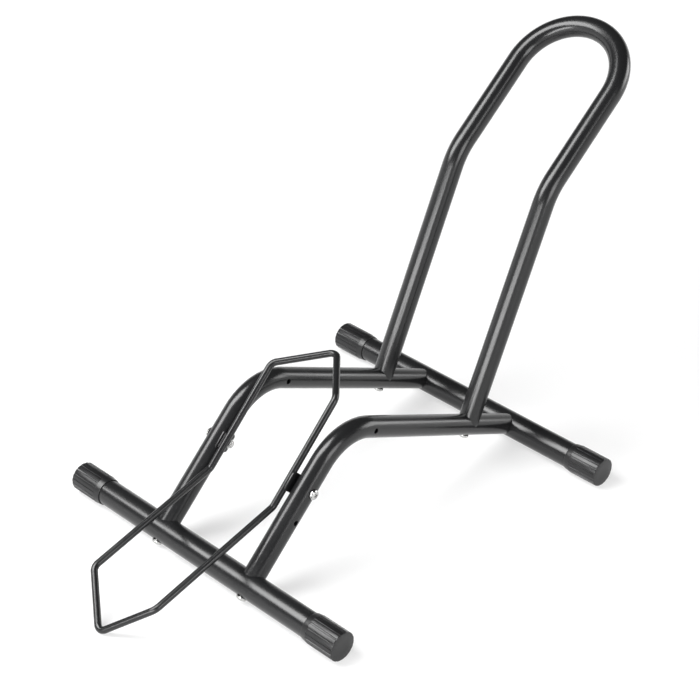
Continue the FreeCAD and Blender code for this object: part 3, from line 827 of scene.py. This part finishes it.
def rounded_edge(start, end, steps=4):
    """Points of a quarter round from one corner of its square to the other, bulging outwards."""
    across, up = end[0] - start[0], end[1] - start[1]
    points = []
    for step in range(steps + 1):
        swing = math.pi / 2 * step / steps
        reach = (1 - math.cos(swing), math.sin(swing))
        if up < 0:
            reach = (math.sin(swing), 1 - math.cos(swing))
        points.append((start[0] + across * reach[0], start[1] + up * reach[1]))
    return points


def cap_stations(feet, bore):
    """Along a cap from its blind bore to its closed end: (place, radius, share of the grooves)."""
    radius = feet.diameter / 2
    bore_end = feet.cap_length - feet.end_wall
    lip = radius - feet.lip_step
    collar_end = radius - feet.collar_step
    slope = (collar_end - lip) / feet.collar
    edge = feet.lip_round
    plain = [(bore_end, bore / 2), (bore_end, bore), (edge, bore), (0.0, bore + feet.mouth_bevel)]
    plain += rounded_edge((0.0, lip - edge), (edge, lip + slope * edge))
    plain += [(feet.collar / 2, lip + slope * feet.collar / 2), (feet.collar, collar_end)]
    stations = [(along, reach, 0.0) for along, reach in plain]
    ribs_start = feet.collar + feet.rib_run_in
    ribs_end = feet.cap_length - feet.end_round
    stations.append((feet.collar + feet.collar_step, radius, feet.collar_step / feet.rib_run_in))
    stations += [(ribs_start, radius, 1.0), ((ribs_start + ribs_end) / 2, radius, 1.0)]
    rounding = rounded_edge((ribs_end, radius), (feet.cap_length, radius - feet.end_round))
    for step, (along, reach) in enumerate(rounding):
        stations.append((along, reach, 1 - step / (len(rounding) - 1)))
    stations.append((feet.cap_length, radius / 2, 0.0))
    return stations


class RACK_OT_end_caps(bpy.types.Operator):
    """Make the four ribbed end caps, each flat where it stands"""

    bl_idname = "rack.end_caps"
    bl_label = "End caps"

    def execute(self, context):
        feet = context.scene.rack_feet
        for end in ENDS:
            bar = bar_place(end)
            stations = cap_stations(feet, bar.radius + feet.fit)
            for side_name, side in SIDES.items():
                node = f"{end}_{side_name}_cap"
                low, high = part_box(node)
                outer_end = high.x if side > 0 else low.x
                rings = []
                for along, radius, grooved in stations:
                    x = outer_end - side * (feet.cap_length - along)
                    rings.append(self.cap_ring(feet, bar.centre, x, radius, grooved, low.z))
                source = source_object(context, node, ring_mesh(node, rings, "poles"), PLASTIC)
                settle(keep_result(f"{node}_ribbed", source), "frame", PLASTIC, node)
        return {"FINISHED"}

    @staticmethod
    def cap_ring(feet, centre, x, radius, grooved, floor):
        """One ring round a cap, grooved by a share and flat where it meets the floor."""
        around = feet.grooves * feet.steps_per_rib
        ring = []
        for index in range(around):
            turn = FULL_TURN * index / around
            depth = groove_share(feet, turn + math.pi / feet.grooves)
            reach = radius - feet.groove_depth * depth * grooved
            z = centre.z - reach * math.cos(turn)
            ring.append(Vector((x, centre.y + reach * math.sin(turn), max(z, floor))))
        return ring


class RACK_OT_cradle_loop(bpy.types.Operator):
    """Make the cradle's closed wire loop, with a fork at each end"""

    bl_idname = "rack.cradle_loop"
    bl_label = "Wire cradle"

    def execute(self, context):
        cradle = context.scene.rack_cradle
        low_tip, low, bend, top, top_tip = cradle_corners(cradle)
        half = [low, bend, top]
        points = [low_tip, *half, top_tip, *[mirrored(point) for point in reversed(half)]]
        side_radii = [cradle.corner_radius, cradle.bend_radius, cradle.corner_radius]
        radii = [cradle.tip_radius, *side_radii, cradle.tip_radius, *side_radii]
        line = line_mesh("wire_line", points, radii, closed=True)
        radius, wall, tool = cradle.wire / 2, 0.0, None
        node = "cradle_loop"
        make_tube(context, "cradle_wire", line, radius, wall, tool, cradle, "cradle", node)
        return {"FINISHED"}


CORNER_STEPS = 8


def plate_outline(cradle):
    """A bracket's rounded outline in its own plane: along the arm, and across it from the pivot."""
    half = cradle.plate_length / 2
    front = cradle.pivot_behind + cradle.plate_front
    rear = -cradle.plate_rear
    corner = cradle.plate_corner
    outline = []
    corners = [(half, front), (-half, front), (-half, rear), (half, rear)]
    for quarter, (along, across) in enumerate(corners):
        centre_along = along - math.copysign(corner, along)
        centre_across = across - math.copysign(corner, across)
        for step in range(CORNER_STEPS + 1):
            turn = math.pi / 2 * (quarter + step / CORNER_STEPS)
            outline.append(
                (centre_along + corner * math.cos(turn), centre_across + corner * math.sin(turn))
            )
    return outline


WELD_SIDES = 12
WELD_RINGS_PER_RIPPLE = 6
WELD_SWELL = 0.14  # how much thicker a ripple is than the run
WELD_SMOOTH_ANGLE = math.radians(80)

# Where a run of weld lies, as shares of the wire's diameter and of its own width.
WELD_OFF_WIRE = 0.33
WELD_SUNK = 0.28
WELD_SHORT_OF_CORNER = 0.4  # of a bracket corner's rounding


def weld_mesh(name, start, end, radius, ripple):
    """A run of weld from start to end, with overlapping ripples and tapering ends."""
    along = end - start
    turn = along.to_track_quat("Z", "Y")
    total = int(along.length / ripple) * WELD_RINGS_PER_RIPPLE
    rings = []
    for index in range(1, total):
        part = index / total
        swell = 1 + WELD_SWELL * abs(math.sin(math.pi * part * along.length / ripple))
        taper = min(1.0, math.sqrt(min(part, 1 - part) * along.length / radius))
        ring = round_ring(WELD_SIDES, 0.0, radius * swell * taper)
        rings.append([start + along * part + turn @ point for point in ring])
    return ring_mesh(name, rings, "poles")


class RACK_OT_cradle_brackets(bpy.types.Operator):
    """Make the two brackets that carry the pivots, and the welds that hold them to the wire"""

    bl_idname = "rack.cradle_brackets"
    bl_label = "Brackets and welds"

    def execute(self, context):
        cradle = context.scene.rack_cradle
        slope = arm_slope(cradle)
        along_arm = side_point(1.0, slope)
        across_arm = side_point(1.0, slope + math.pi / 2)
        for name, side in SIDES.items():
            low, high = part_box(f"{name}_cradle_bracket")
            self.make_plate(context, name, low.x, high.x, along_arm, across_arm)
            inner = low.x if side > 0 else high.x
            face = inner - side * cradle.weld * WELD_SUNK
            wire_line = pivot_place() + across_arm * cradle.pivot_behind + Vector((face, 0.0, 0.0))
            half_run = cradle.plate_length / 2 - cradle.plate_corner * WELD_SHORT_OF_CORNER
            for place, way in (("front", 1), ("rear", -1)):
                middle_of_run = wire_line + across_arm * (way * cradle.wire * WELD_OFF_WIRE)
                ends = [middle_of_run - along_arm * half_run, middle_of_run + along_arm * half_run]
                run = f"{name}_{place}_weld"
                mesh = weld_mesh(run, *ends, cradle.weld / 2, cradle.weld_ripple)
                source = source_object(context, run, mesh, COAT)
                settle(keep_result(f"{run}_bead", source, WELD_SMOOTH_ANGLE), "cradle", COAT)
        return {"FINISHED"}

    @staticmethod
    def make_plate(context, name, inner, outer, along_arm, across_arm):
        """One drilled plate with softened edges, between two places across the rack."""
        cradle = context.scene.rack_cradle
        node = f"{name}_cradle_bracket"
        pivot = pivot_place()
        rings = []
        for x in (inner, outer):
            corner = pivot + Vector((x, 0.0, 0.0))
            outline = plate_outline(cradle)
            rings.append([corner + along_arm * far + across_arm * up for far, up in outline])
        source = source_object(context, node, ring_mesh(node, rings, "flat"), COAT)
        reach = Vector((2 * (outer - inner), 0.0, 0.0))
        centre = pivot + Vector(((inner + outer) / 2, 0.0, 0.0))
        rod = (centre - reach, centre + reach, context.scene.rack_tubes.cross_hole)
        tool = rods_object(f"{node}_drill", [rod], DRILL_SIDES)
        carve(source, tool)
        soften = source.modifiers.new("Soften", "BEVEL")
        soften.width = cradle.plate_edge
        soften.segments = 3
        soften.limit_method = "ANGLE"
        piece = keep_result(f"{name}_bracket_plate", source)
        bpy.data.objects.remove(tool)
        settle(piece, "cradle", COAT, node)


# The tool that sinks a recess starts above the head, a little wider than named, and tapers.
RECESS_RISE = 0.5 * MM
RECESS_MOUTH = 1.08
RECESS_FLOOR = 0.55
SLOT_TAPER = 0.65  # how much of that taper the slots take

# Small edges of a bolt.
DOME_STEPS = 12
HEAD_BEVEL = 0.25 * MM
HEAD_BEVEL_DEPTH = 0.2 * MM
SHANK_LEFT_PLAIN = 0.5 * MM


def cross_tool(sizes, top):
    """The tapering cross that sinks the recess of a bolt's head."""
    rings = []
    for height, spread in ((RECESS_RISE, RECESS_MOUTH), (-sizes.recess_depth, RECESS_FLOOR)):
        far = sizes.recess / 2 * spread
        near = sizes.recess_slot / 2 * (1 - SLOT_TAPER + SLOT_TAPER * spread)
        corners = []
        for quarter in range(4):
            spin = Matrix.Rotation(math.pi / 2 * quarter, 3, "Z")
            for x, y in ((near, near), (near, far), (-near, far)):
                corners.append(spin @ Vector((x, y, 0.0)) + Vector((0.0, 0.0, top + height)))
        rings.append(corners)
    return new_object("recess_tool", ring_mesh("recess_tool", rings, "flat"))


def bolt_object(context, name, seat, tip):
    """A domed bolt on its own Z axis: head above seat, thread down to tip, cross recess."""
    sizes = context.scene.rack_fasteners
    sides = sizes.sides
    shank = sizes.bolt / 2
    head = sizes.head / 2
    top = seat + sizes.head_height
    dome = sizes.head_height - sizes.head_side
    rings = []
    for step in range(1, DOME_STEPS + 1):
        swing = math.pi / 2 * step / DOME_STEPS
        rings.append(round_ring(sides, top - dome * (1 - math.cos(swing)), head * math.sin(swing)))
    thread_top = min(tip + sizes.thread, seat - SHANK_LEFT_PLAIN)
    rings += [
        round_ring(sides, seat + HEAD_BEVEL, head),
        round_ring(sides, seat, head - HEAD_BEVEL_DEPTH),
        round_ring(sides, seat, shank),
        round_ring(sides, thread_top, shank),
    ]
    total = int((thread_top - tip) / sizes.pitch * sizes.rings_per_pitch)
    for index in range(1, total + 1):
        height = thread_top + (tip - thread_top) * index / total
        depth = sizes.thread_depth * min(1.0, (thread_top - height) / sizes.pitch)
        pointed = shank - max(0.0, sizes.point - (height - tip))

        def reach(turn):
            wave = 0.5 - 0.5 * math.cos(FULL_TURN * height / sizes.pitch + turn)
            return min(shank - depth * wave, pointed)

        rings.append(round_ring(sides, height, reach))
    source = new_object(f"{name}_source", ring_mesh(name, rings, "poles"))
    tool = cross_tool(sizes, top)
    carve(source, tool)
    bolt = keep_result(name, source)
    bpy.data.objects.remove(tool)
    return bolt


def place_fasteners(context, fastener, points, turn, body, node):
    """Sets like fasteners on points, as one piece in a node's place, and deletes the pattern."""
    name = f"{node}_fine"
    mesh = bpy.data.meshes.new(f"{name}_points")
    mesh.from_pydata(points, [], [])
    inputs = {"Fastener": fastener, "Turn": turn, "Finish": finish(context, ZINC)}
    piece = run_tree(name, mesh, placed_tree(), inputs)
    bpy.data.objects.remove(fastener)
    settle(piece, body, ZINC, node)


class RACK_OT_joint_bolts(bpy.types.Operator):
    """Make the six bolts that join bars, side tubes and hoop"""

    bl_idname = "rack.joint_bolts"
    bl_label = "Joint bolts"

    def execute(self, context):
        tubes = context.scene.rack_tubes
        radius = tubes.tube_diameter / 2
        front, rear = [bar_place(end) for end in ENDS]
        joints = {
            "front_bar_bolts": (front.centre, front.radius, tubes.front_leg),
            "rear_bar_bolts": (rear.centre, rear.radius, math.pi - tubes.rear_leg),
            "hoop_bolts": (hoop_line(tubes)[0], radius, math.pi / 2 - tubes.rear_leg),
        }
        for node, (place, seat, slope) in joints.items():
            axis = -side_point(1.0, slope)
            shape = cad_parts[node].data
            tip = min((vertex.co - place).dot(axis) for vertex in shape.vertices)
            bolt = bolt_object(context, f"{node}_pattern", seat, tip)
            points = [place + tube_offset() * side for side in SIDES.values()]
            place_fasteners(context, bolt, points, (slope + math.pi / 2, 0.0, 0.0), "frame", node)
        return {"FINISHED"}


class RACK_OT_pivot_bolts(bpy.types.Operator):
    """Make the two bolts that the cradle rocks on"""

    bl_idname = "rack.pivot_bolts"
    bl_label = "Pivot bolts"

    def execute(self, context):
        sizes = context.scene.rack_fasteners
        for name, side in SIDES.items():
            node = f"{name}_pivot_bolt"
            low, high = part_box(node)
            outer = max(abs(low.x), abs(high.x)) - tube_offset().x
            inner = min(abs(low.x), abs(high.x)) - tube_offset().x
            bolt = bolt_object(context, f"{node}_pattern", outer - sizes.head_height, inner)
            points = [pivot_place() + tube_offset() * side]
            turn = (0.0, math.pi / 2 * side, 0.0)
            place_fasteners(context, bolt, points, turn, "cradle", node)
        return {"FINISHED"}


NUT_SIDES = 72
CORNER_BEVEL = 0.9 * MM
BEVEL_START, BEVEL_MIDDLE = 0.97, 0.4  # as shares of the flat's radius and of the bevel
BORE_BEVEL = 0.3 * MM
COLLAR_BEND = 0.6 * MM  # rounding of the collar's outer edge, in two steps
COLLAR_SHOULDER = (0.2 * MM, 0.15 * MM)
# How much wider than the bore the locking ring's seat is, at its mouth and floor, and its depth.
LOCK_RING = (0.7 * MM, 0.6 * MM, 0.5 * MM)


class RACK_OT_lock_nuts(bpy.types.Operator):
    """Make the two lock nuts on the pivot bolts"""

    bl_idname = "rack.lock_nuts"
    bl_label = "Lock nuts"

    def execute(self, context):
        sizes = context.scene.rack_fasteners
        slope = arm_slope(context.scene.rack_cradle)
        for name, side in SIDES.items():
            node = f"{name}_pivot_nut"
            low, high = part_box(node)
            face = max(abs(low.x), abs(high.x)) - tube_offset().x
            source = new_object(f"{node}_pattern_source", self.nut_mesh(sizes, face))
            nut = keep_result(f"{node}_pattern", source)
            points = [pivot_place() + tube_offset() * side]
            aside = Matrix.Rotation(math.pi / 2 * side, 3, "Y")
            turn = (aside @ Matrix.Rotation(slope * side, 3, "Z")).to_euler()
            place_fasteners(context, nut, points, tuple(turn), "cradle", node)
        return {"FINISHED"}

    @staticmethod
    def nut_mesh(sizes, face):
        """A hexagon with bevelled corners, then a rounded collar, round a plain bore."""
        flat = sizes.nut / 2
        widest = flat / math.cos(math.pi / 6)
        between = (flat + widest) / 2
        rim = flat * BEVEL_START
        soft = CORNER_BEVEL * BEVEL_MIDDLE
        bore = sizes.bolt / 2 + sizes.bolt_gap
        height = sizes.nut_height
        collar = sizes.collar / 2
        end = height + sizes.collar_height
        shoulder_down, shoulder_in = COLLAR_SHOULDER
        mouth, floor, depth = LOCK_RING

        def ring(down, limit):
            def reach(turn):
                corner = (turn + math.pi / 6) % (math.pi / 3) - math.pi / 6
                return min(limit, flat / math.cos(corner))

            return round_ring(NUT_SIDES, face - down, reach)

        section = [
            (end - depth, bore),
            (BORE_BEVEL, bore),
            (0.0, bore + BORE_BEVEL),
            (0.0, rim),
            (soft, between),
            (CORNER_BEVEL, widest),
            (height - CORNER_BEVEL, widest),
            (height - soft, between),
            (height, rim),
            (height, collar),
            (end - COLLAR_BEND, collar),
            (end - shoulder_down, collar - shoulder_in),
            (end, collar - COLLAR_BEND),
            (end, bore + mouth),
            (end - depth, bore + floor),
        ]
        rings = [ring(down, limit) for down, limit in section]
        return ring_mesh("lock_nut", rings, "joined")


class RACK_OT_inserts(bpy.types.Operator):
    """Finish the threaded inserts inside the tubes"""

    bl_idname = "rack.inserts"
    bl_label = "Threaded inserts"

    def execute(self, context):
        steel = finish(context, STEEL)
        for node in ("front_tube_inserts", "rear_tube_inserts", "hoop_inserts"):
            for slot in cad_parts[node].material_slots:
                slot.material = steel
        return {"FINISHED"}


WHITE = (1.0, 1.0, 1.0, 1.0)
FLOOR_RADIUS = 40.0
FLOOR_SIDES = 96

# How much the floor adds to its lit colour to show as white: near the rack and far from it.
GLOW_DISTANCE = (0.4, 2.4)
GLOW_LEVEL = (0.58, 0.98)

# How far up the sky, from 0 at the horizon to 1 overhead, the floor's white ends and has faded.
WHITE_BAND = (0.15, 0.25)


def eased(graph, value, between, levels):
    """A value that goes smoothly from one level to another between two limits."""
    inputs = {"Value": value, "From Min": between[0], "From Max": between[1]}
    inputs.update({"To Min": levels[0], "To Max": levels[1]})
    settings = {"interpolation_type": "SMOOTHSTEP", "clamp": True}
    return graph.node("ShaderNodeMapRange", settings, inputs)


def seen_directly(graph):
    """One for rays by which the camera sees: straight, reflected or through something clear."""
    kinds = ("Is Camera Ray", "Is Glossy Ray", "Is Transmission Ray")
    camera, glossy, clear = [graph.node("ShaderNodeLightPath", output=kind) for kind in kinds]
    return camera + glossy + clear


def floor_material(stage):
    """A pale floor that shows as white, keeps the rack's shadow and fades into the room."""
    material, graph = new_material("floor", stage.floor_colour)
    place = graph.node("ShaderNodeTexCoord", output="Object")
    inputs = {"Vector": place}
    distance = graph.node("ShaderNodeVectorMath", {"operation": "LENGTH"}, inputs, output="Value")
    level = seen_directly(graph) * eased(graph, distance, GLOW_DISTANCE, GLOW_LEVEL)
    paint = graph.node("ShaderNodeBsdfDiffuse", None, {"Color": (*stage.floor_colour, 1.0)})
    glow = graph.node("ShaderNodeEmission", None, {"Color": WHITE, "Strength": level})
    surface = graph.node("ShaderNodeAddShader", None, {0: paint, 1: glow})
    graph.node("ShaderNodeOutputMaterial", None, {"Surface": surface})
    return material


def room_world(surround):
    """A dim room whose horizon is as white as the floor, to the camera and in reflections."""
    world = bpy.data.worlds.new("room")
    world.use_nodes = True
    graph = Graph(world.node_tree)
    place = graph.node("ShaderNodeTexCoord", output="Generated")
    height = graph.node("ShaderNodeSeparateXYZ", None, {"Vector": place}, output="Z")
    band = eased(graph, height, WHITE_BAND, (1.0, 0.0))
    level = seen_directly(graph) * band * (1.0 - surround) + surround
    room = graph.node("ShaderNodeBackground", None, {"Color": WHITE, "Strength": level})
    graph.node("ShaderNodeOutputWorld", None, {"Surface": room})
    return world


SoftLight = namedtuple("SoftLight", "azimuth elevation width height radiance")

# Where each light stands as seen from the rack, in degrees, its size and how bright its face is.
SOFT_LIGHTS = {
    "key_light": SoftLight(-40, 52.5, 1.05, 1.7, 11.2),
    "front_light": SoftLight(12, 13, 1.75, 0.55, 11.0),
    "right_fill": SoftLight(84, 22, 0.9, 0.9, 5.5),
    "rear_light": SoftLight(150, 13, 1.1, 0.7, 5.0),
}
LIGHT_DISTANCE = 2.0
LIGHT_TARGET = Vector((0.0, 0.0, 0.18))
SENSOR_WIDTH = 36.0  # millimetres, as Blender has it


def soft_light(name, place, level):
    """A soft light that faces the rack, unseen by the camera itself."""
    lamp = bpy.data.lights.new(name, "AREA")
    lamp.shape = "RECTANGLE"
    lamp.size = place.width
    lamp.size_y = place.height
    lamp.energy = level * place.radiance * math.pi * place.width * place.height
    light = bpy.data.objects.new(name, lamp)
    turn = Euler((math.radians(90 - place.elevation), 0.0, math.radians(place.azimuth)))
    light.rotation_euler = turn
    light.location = LIGHT_TARGET + turn.to_matrix() @ Vector((0.0, 0.0, LIGHT_DISTANCE))
    light.visible_camera = False
    bpy.context.scene.collection.objects.link(light)


class RACK_OT_stage(bpy.types.Operator):
    """Set the floor, the soft lights, the room and the camera"""

    bl_idname = "rack.stage"
    bl_label = "Stage"

    def execute(self, context):
        stage = context.scene.rack_stage
        scene = context.scene
        bpy.ops.mesh.primitive_circle_add(
            vertices=FLOOR_SIDES, radius=FLOOR_RADIUS, fill_type="NGON"
        )
        floor = context.object
        floor.name = "floor"
        floor.data.materials.append(floor_material(stage))

        for name, place in SOFT_LIGHTS.items():
            soft_light(name, place, stage.light_level)
        scene.world = room_world(stage.surround)

        lens = bpy.data.cameras.new("camera")
        lens.lens = stage.lens
        lens.sensor_width = SENSOR_WIDTH
        lens.clip_end = 2 * FLOOR_RADIUS
        camera = bpy.data.objects.new("camera", lens)
        camera.location = stage.camera_place
        camera.rotation_euler = (math.pi / 2 - stage.camera_pitch, 0.0, stage.camera_turn)
        scene.collection.objects.link(camera)
        scene.camera = camera
        scene.view_settings.view_transform = "Standard"
        return {"FINISHED"}


OPERATORS = (
    RACK_OT_stage,
    RACK_OT_cross_bars,
    RACK_OT_side_tubes,
    RACK_OT_hoop,
    RACK_OT_end_caps,
    RACK_OT_cradle_loop,
    RACK_OT_cradle_brackets,
    RACK_OT_joint_bolts,
    RACK_OT_pivot_bolts,
    RACK_OT_lock_nuts,
    RACK_OT_inserts,
)


class RACK_PT_panel(bpy.types.Panel):
    """The rack's pieces and their sizes"""

    bl_label = "Floor bike rack"
    bl_idname = "RACK_PT_panel"
    bl_space_type = "VIEW_3D"
    bl_region_type = "UI"
    bl_category = "Bike rack"

    def draw(self, context):
        for operator in OPERATORS:
            self.layout.operator(operator.bl_idname)
        for name, group in GROUPS.items():
            box = self.layout.box()
            for size in group.__annotations__:
                label = size.replace("_", " ").capitalize()
                box.prop(getattr(context.scene, name), size, text=label)


def register():
    for name, group in GROUPS.items():
        bpy.utils.register_class(group)
        setattr(bpy.types.Scene, name, bpy.props.PointerProperty(type=group))
    for operator in OPERATORS:
        bpy.utils.register_class(operator)
    bpy.utils.register_class(RACK_PT_panel)


def unregister():
    bpy.utils.unregister_class(RACK_PT_panel)
    for operator in reversed(OPERATORS):
        bpy.utils.unregister_class(operator)
    for name, group in reversed(GROUPS.items()):
        delattr(bpy.types.Scene, name)
        bpy.utils.unregister_class(group)


def main():
    register()
    for operator in OPERATORS:
        family, name = operator.bl_idname.split(".")
        getattr(getattr(bpy.ops, family), name)()


if __name__ == "__main__":
    main()
